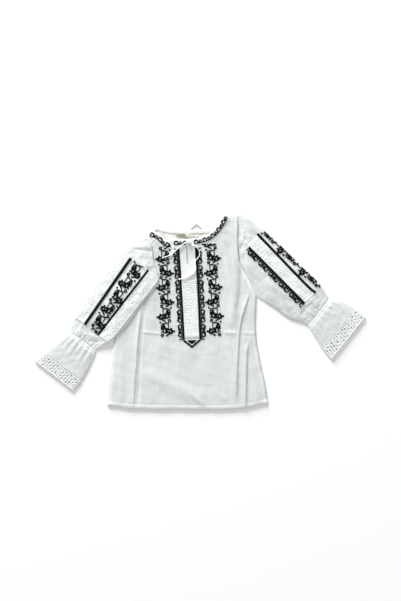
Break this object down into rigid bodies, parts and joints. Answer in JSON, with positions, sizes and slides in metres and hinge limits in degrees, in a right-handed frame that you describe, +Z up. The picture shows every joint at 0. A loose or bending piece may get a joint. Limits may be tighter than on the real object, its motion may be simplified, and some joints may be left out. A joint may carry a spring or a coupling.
{
  "type": "romanian ie blouse",
  "caption": "Child's white cotton folk blouse laid flat, long ruffled sleeves, tied neck, lace bands and black cross-stitch flowers.",
  "frame": {"origin": "on the resting surface, below the middle of the blouse's bounding box", "axes": "+X towards the sleeve that lies out to the side, +Y from the hem to the neck, +Z up from the resting surface"},
  "size_m": [0.7762, 0.4587, 0.0088],
  "materials": {
    "cotton": "white cotton voile with slubs, matt and slightly sheer",
    "cotton_inside": "the same voile seen from inside, warmer in shade, matt",
    "lace": "white cotton lace with small eyelets, matt",
    "cord": "bleached twisted cotton cord, matt",
    "embroidery": "black cotton thread in cross-stitch, low sheen",
    "label": "blank woven label, fine rib"
  },
  "bodies": {
    "root": {"front_panel": "cotton", "neck_band_front_left": "cotton", "neck_band_front_right": "cotton", "sleeve_left": "cotton", "sleeve_right": "cotton", "cuff_casing_left": "cotton", "cuff_casing_right": "cotton", "ruffle_left": "cotton", "ruffle_right": "cotton", "back_panel": "cotton_inside", "neck_band_back": "cotton_inside", "lace_trim_left": "lace", "lace_trim_right": "lace", "front_lace_band": "lace", "sleeve_lace_left_outer": "lace", "sleeve_lace_left_inner": "lace", "sleeve_lace_right": "lace", "drawstring_left": "cord", "drawstring_right": "cord", "drawstring_end_left": "cord", "drawstring_end_right": "cord", "drawstring_knot": "cord", "hanger_loop": "cord", "neck_label": "label"}
  },
  "joints": []
}
